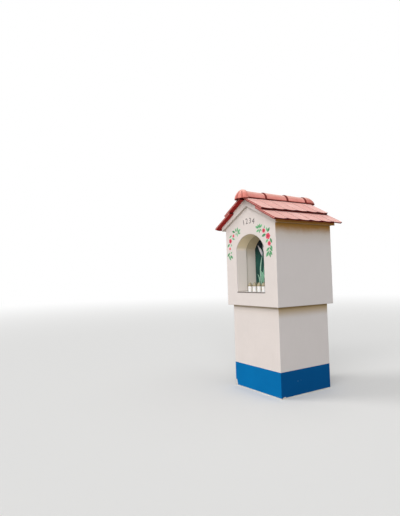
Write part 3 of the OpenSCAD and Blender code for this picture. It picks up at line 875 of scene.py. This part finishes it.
# The tiles are paler towards the top, as painted light from above, and dark along their feet and on faces
# that look down, as painted shade.
set_colour(tree, shader, lay_over(tree, red, (clouds, 0.5, (0.620, 0.165, 0.135)),
                                  (ramp(tree, upward, 0.35, 0.95), 1, (0.880, 0.530, 0.450)),
                                  (spots, 0.22, (0.880, 0.620, 0.480)), (hollow_shade, 0.90, (0.160, 0.010, 0.009)),
                                  (vertex_value(tree, "foot"), 0.70, (0.100, 0.008, 0.007)),
                                  (ramp(tree, upward, -0.1, -0.6), 1, (0.300, 0.020, 0.018))))
set_bump(tree, shader, (clouds, 0.003, 0.3), (grit, 0.0008, 0.3))

for number, (start, following) in enumerate(zip(ridge_joints, ridge_joints[1:]), 1):
    shoulder, end = following - groove, following + lap
    profile = ((start, ridge_r - rim_r), (start + rim_r, ridge_r), (start + roll_w, ridge_r),
               (start + roll_w + 0.008, ridge_r - rim_r), (shoulder - 2 * rim_r, ridge_r_rear),
               (shoulder, ridge_r_rear - rim_r), (shoulder + 0.001, spigot_r), (end - 0.001, spigot_r),
               (end, spigot_r - 0.001), (end, fill_r + 0.001), (shoulder, fill_r + 0.001),
               (start + lap, bore_r), (start, bore_r))
    piece = drawn_line(f"ridge_clay_{number}", [(r, y, ridge_z) for y, r in profile])
    bpy.ops.mesh.edge_face_add()
    bpy.ops.mesh.spin(steps=40, angle=math.pi, center=(0, 0, ridge_z), axis=(0, 1, 0))
    close_up()
    pick(piece, "edges", lambda middle, edge: middle.z < ridge_z + near and abs(middle.x) > outer_r)
    soften(rim_r, segments=2)
    bpy.ops.object.mode_set(mode="OBJECT")
    tone = chance.uniform(0.5, 1)
    set_values(piece, "batch", lambda place: tone)
    # Their insides and sockets and their feet are coloured dark, as painted shade.
    set_values(piece, "hollow_shade", lambda place: float(math.hypot(place.x, place.z - ridge_z) < outer_r
                                                    or place.y < start + 0.001))
    set_values(piece, "foot", lambda place: over_foot(place, ridge_z + 0.010))
    finish_piece(piece, ridge_clay, "clay_ridge", f"ridge_tile_{number}", smooth=30)

# Ridge end caps: shell-shaped clay pieces, pressed in one with their collar. Each has four lobes round its
# nose, with flutes between them. They are made from the same shells as the solid model, with their rims
# rounded and their flutes smoothed.


def flute(place, cap_r, nose_y, nose_reach):
    """How deep a point of a cap lies in one of its flutes, which fade out towards the top."""
    across, ahead = place.x / cap_r, max((place.y - nose_y) / nose_reach, 0)
    turn, reach = math.atan2(ahead, across), math.hypot(ahead, across)
    return math.sin(turn) * (1 - abs(math.sin(4 * turn))) ** 2 * min(max((reach - 0.15) / 0.35, 0), 1)


for name, node, cap_r, nose_y, nose_reach, dark_h in (
        ("front_shell", "front_ridge_cap", ridge_r + 0.0135, ridge_joints[0], -0.080, 0.007),
        ("rear_shell", "rear_ridge_cap", ridge_r, 0.515, 0.160, 0.018)):
    cap = copy_of(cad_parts[node], name)
    make_active(cap)
    bpy.ops.object.mode_set(mode="EDIT")
    close_up()
    bpy.ops.mesh.tris_convert_to_quads(face_threshold=math.radians(60), shape_threshold=math.radians(60))
    use_modifier(cap, "BEVEL", width=0.0025, segments=2, limit_method="ANGLE", angle_limit=math.radians(55))
    use_modifier(cap, "SUBSURF", levels=1, render_levels=1)
    tone = chance.uniform(0, 0.2)
    rim_z = min(vertex.co.z for vertex in cap.data.vertices)
    set_values(cap, "batch", lambda place: tone)
    # Their flutes are coloured darker by their depth, and their feet dark, as painted shade.
    set_values(cap, "hollow_shade", lambda place: flute(place, cap_r, nose_y, nose_reach))
    set_values(cap, "foot", lambda place: over_foot(place, rim_z + dark_h))
    finish_piece(cap, ridge_clay, "clay_ridge", node, smooth=60)

# Mortar: the ridge pieces and the upper courses are bedded in mortar, left rough and coloured nearly black as
# painted shade.
# Where the bedding of the courses ends over the gables, it is skimmed over and painted white with the bands.
bed_mortar, tree, shader, place = new_material("bed_mortar", roughness=0.95, gloss=0.1)
lumps = noise(tree, place, 55, 5, 0.3, 0.7)
# The mortar is coloured nearly black, as painted shade.
set_colour(tree, shader, blend_colour(tree, lumps, (0.045, 0.006, 0.005), (0.110, 0.025, 0.019)))
set_bump(tree, shader, (lumps, 0.006, 0.8))
skim_coat, tree, shader, place, paint = render_coat(
    "skimmed_mortar", (0.700, 0.610, 0.560), (0.640, 0.550, 0.490), (0.30, 0.235, 0.165))
skimmed_end = ramp(tree, either_way(tree, place, "Y"), body_y + 0.010, body_y + 0.020)
# Short of its ends the bedding is coloured nearly black, as painted shade.
set_colour(tree, shader, blend_colour(tree, skimmed_end, (0.080, 0.015, 0.012), paint))
for node, material in (("ridge_mortar", bed_mortar), ("left_bedding", skim_coat),
                       ("right_bedding", skim_coat)):
    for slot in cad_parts[node].material_slots:
        slot.material = material

# Garlands: sprays of leaves with small red roses and buds, painted freehand on the front in oil paint,
# one on each side of the arch. Every stroke stands just proud of the render.
leaf_green = brushed_paint("leaf_green", (0.022, 0.160, 0.055), (0.230, 0.580, 0.290), (0.025, 0.130, 0.050))
rose_red = brushed_paint("rose_red", (0.500, 0.022, 0.060), (0.800, 0.110, 0.160), (0.520, 0.025, 0.060))
rose_edge = [(0.46 + 0.04 * math.cos(5 * a), a) for a in (math.radians(9 * n) for n in range(40))]
rose = stroke_pattern("rose_pattern", [(r * math.cos(a), r * math.sin(a)) for r, a in rose_edge], 0.10)
wall_face, leaf_layer_t, top_coat = -body_y, 0.00004, 0.0006
stem_w, bud_w = 0.0032, 0.036

# A leaf or a bud has a foot and a tip, a rose a place and a size, and a stem the points that it goes through.
# The stroke of a leaf is 1.3 times as long as the leaf, because its pointed end is too thin to be seen.
sprays = {
    "right": {
        "leaves": (
            (0.195, 1.897, 0.201, 1.938), (0.199, 1.897, 0.233, 1.928), (0.186, 1.899, 0.136, 1.916),
            (0.190, 1.883, 0.149, 1.863), (0.192, 1.880, 0.193, 1.848), (0.198, 1.886, 0.222, 1.865),
            (0.188, 1.907, 0.169, 1.935), (0.272, 1.880, 0.283, 1.911), (0.333, 1.838, 0.313, 1.882),
            (0.333, 1.838, 0.356, 1.877), (0.300, 1.820, 0.245, 1.803), (0.365, 1.769, 0.388, 1.723),
            (0.335, 1.759, 0.300, 1.730), (0.367, 1.688, 0.393, 1.655), (0.352, 1.665, 0.310, 1.633),
            (0.357, 1.664, 0.389, 1.629), (0.343, 1.625, 0.303, 1.576), (0.354, 1.630, 0.383, 1.589),
            (0.346, 1.609, 0.361, 1.565)),
        "roses": ((0.265, 1.861, 0.053), (0.334, 1.793, 0.074), (0.350, 1.709, 0.055)),
        "buds": (),
        "stem": ((0.192, 1.893), (0.227, 1.877), (0.265, 1.861), (0.303, 1.834), (0.334, 1.793),
                 (0.344, 1.754), (0.350, 1.709), (0.354, 1.674), (0.350, 1.634), (0.346, 1.605))},
    "left": {
        "leaves": (
            (-0.222, 1.898, -0.212, 1.942), (-0.214, 1.894, -0.168, 1.918), (-0.215, 1.888, -0.170, 1.873),
            (-0.225, 1.884, -0.218, 1.847), (-0.236, 1.896, -0.255, 1.933), (-0.262, 1.894, -0.307, 1.911),
            (-0.232, 1.881, -0.250, 1.866), (-0.330, 1.864, -0.371, 1.845), (-0.324, 1.826, -0.281, 1.811),
            (-0.379, 1.764, -0.416, 1.731), (-0.350, 1.757, -0.338, 1.731), (-0.382, 1.650, -0.420, 1.613),
            (-0.366, 1.637, -0.341, 1.655), (-0.399, 1.614, -0.371, 1.567), (-0.373, 1.617, -0.332, 1.585)),
        "roses": ((-0.362, 1.795, 0.058),),
        "buds": ((-0.299, 1.878, -0.297, 1.833), (-0.368, 1.719, -0.381, 1.681)),
        "stem": ((-0.225, 1.889), (-0.272, 1.876), (-0.298, 1.857), (-0.334, 1.827), (-0.362, 1.795),
                 (-0.361, 1.750), (-0.374, 1.699), (-0.378, 1.663), (-0.388, 1.630))}}
for side_name, spray in sprays.items():
    greens = []
    for number, (x, z, tip_x, tip_z) in enumerate(spray["leaves"]):
        reach, face_y = Vector((tip_x - x, tip_z - z)), wall_face - leaf_layer_t * (number % 5)
        tip, vein = Vector((x, z)) + 1.30 * reach, Vector((x, z)) + 0.85 * reach
        greens.append(stroke(blade, (x, z), tip, 0.56 * reach.length, face_y, brush.uniform(0.2, 1)))
        greens.append(stroke(blade, (x, z), vein, 0.11 * reach.length, face_y - top_coat, 0))
    greens += [stroke(blade, start, end, stem_w, wall_face, 1)
               for start, end in zip(spray["stem"], spray["stem"][1:])]
    reds = [stroke(rose, (x, z), (x + size, z), size, wall_face - top_coat, brush.uniform(0.5, 1))
            for x, z, size in spray["roses"]]
    reds += [stroke(rose, (x, z), (x + 0.32 * size, z + 0.32 * size), 0.45 * size,
                    wall_face - 2 * top_coat, 0) for x, z, size in spray["roses"]]
    reds += [stroke(blade, bud[:2], bud[2:], bud_w, wall_face - top_coat, brush.uniform(0.4, 1))
             for bud in spray["buds"]]
    finish_piece(joined(greens, f"{side_name}_garland_leaves"), leaf_green, "painted_board", smooth=50)
    finish_piece(joined(reds, f"{side_name}_garland_roses"), rose_red, "painted_board", smooth=50)
for pattern in (*patterns.values(), rose):
    bpy.data.objects.remove(pattern)

# Numerals: plain figures brushed in thin dark paint over the arch, in a slight bow and leaning a little.
# They are only for show and count from one to four.
soot_grey = brushed_paint("soot_grey", (0.120, 0.095, 0.090), (0.170, 0.140, 0.130), (0.070, 0.055, 0.050))
figure_h, figure_t = 0.094, 0.0005

# Each figure has the place of its foot and its lean in degrees.
figure_places = ((-0.107, 1.960, -9), (-0.052, 1.971, -4), (0.006, 1.974, 3), (0.062, 1.966, 9))
figures = []
for number, (x, z, lean) in enumerate(figure_places, 1):
    select_nothing()
    bpy.ops.object.text_add(location=(x, wall_face - paint_back, z),
                            rotation=(math.pi / 2, math.radians(lean), 0))
    text = bpy.context.object.data
    text.body, text.size, text.extrude = str(number), figure_h, figure_t
    bpy.ops.object.convert(target="MESH")
    figure = open_new(f"figure_{number}")
    close_up()
    bpy.ops.object.mode_set(mode="OBJECT")
    tone = brush.random()
    set_values(figure, "batch", lambda place: tone)
    figures.append(figure)
finish_piece(joined(figures, "painted_numerals"), soot_grey, "painted_board")
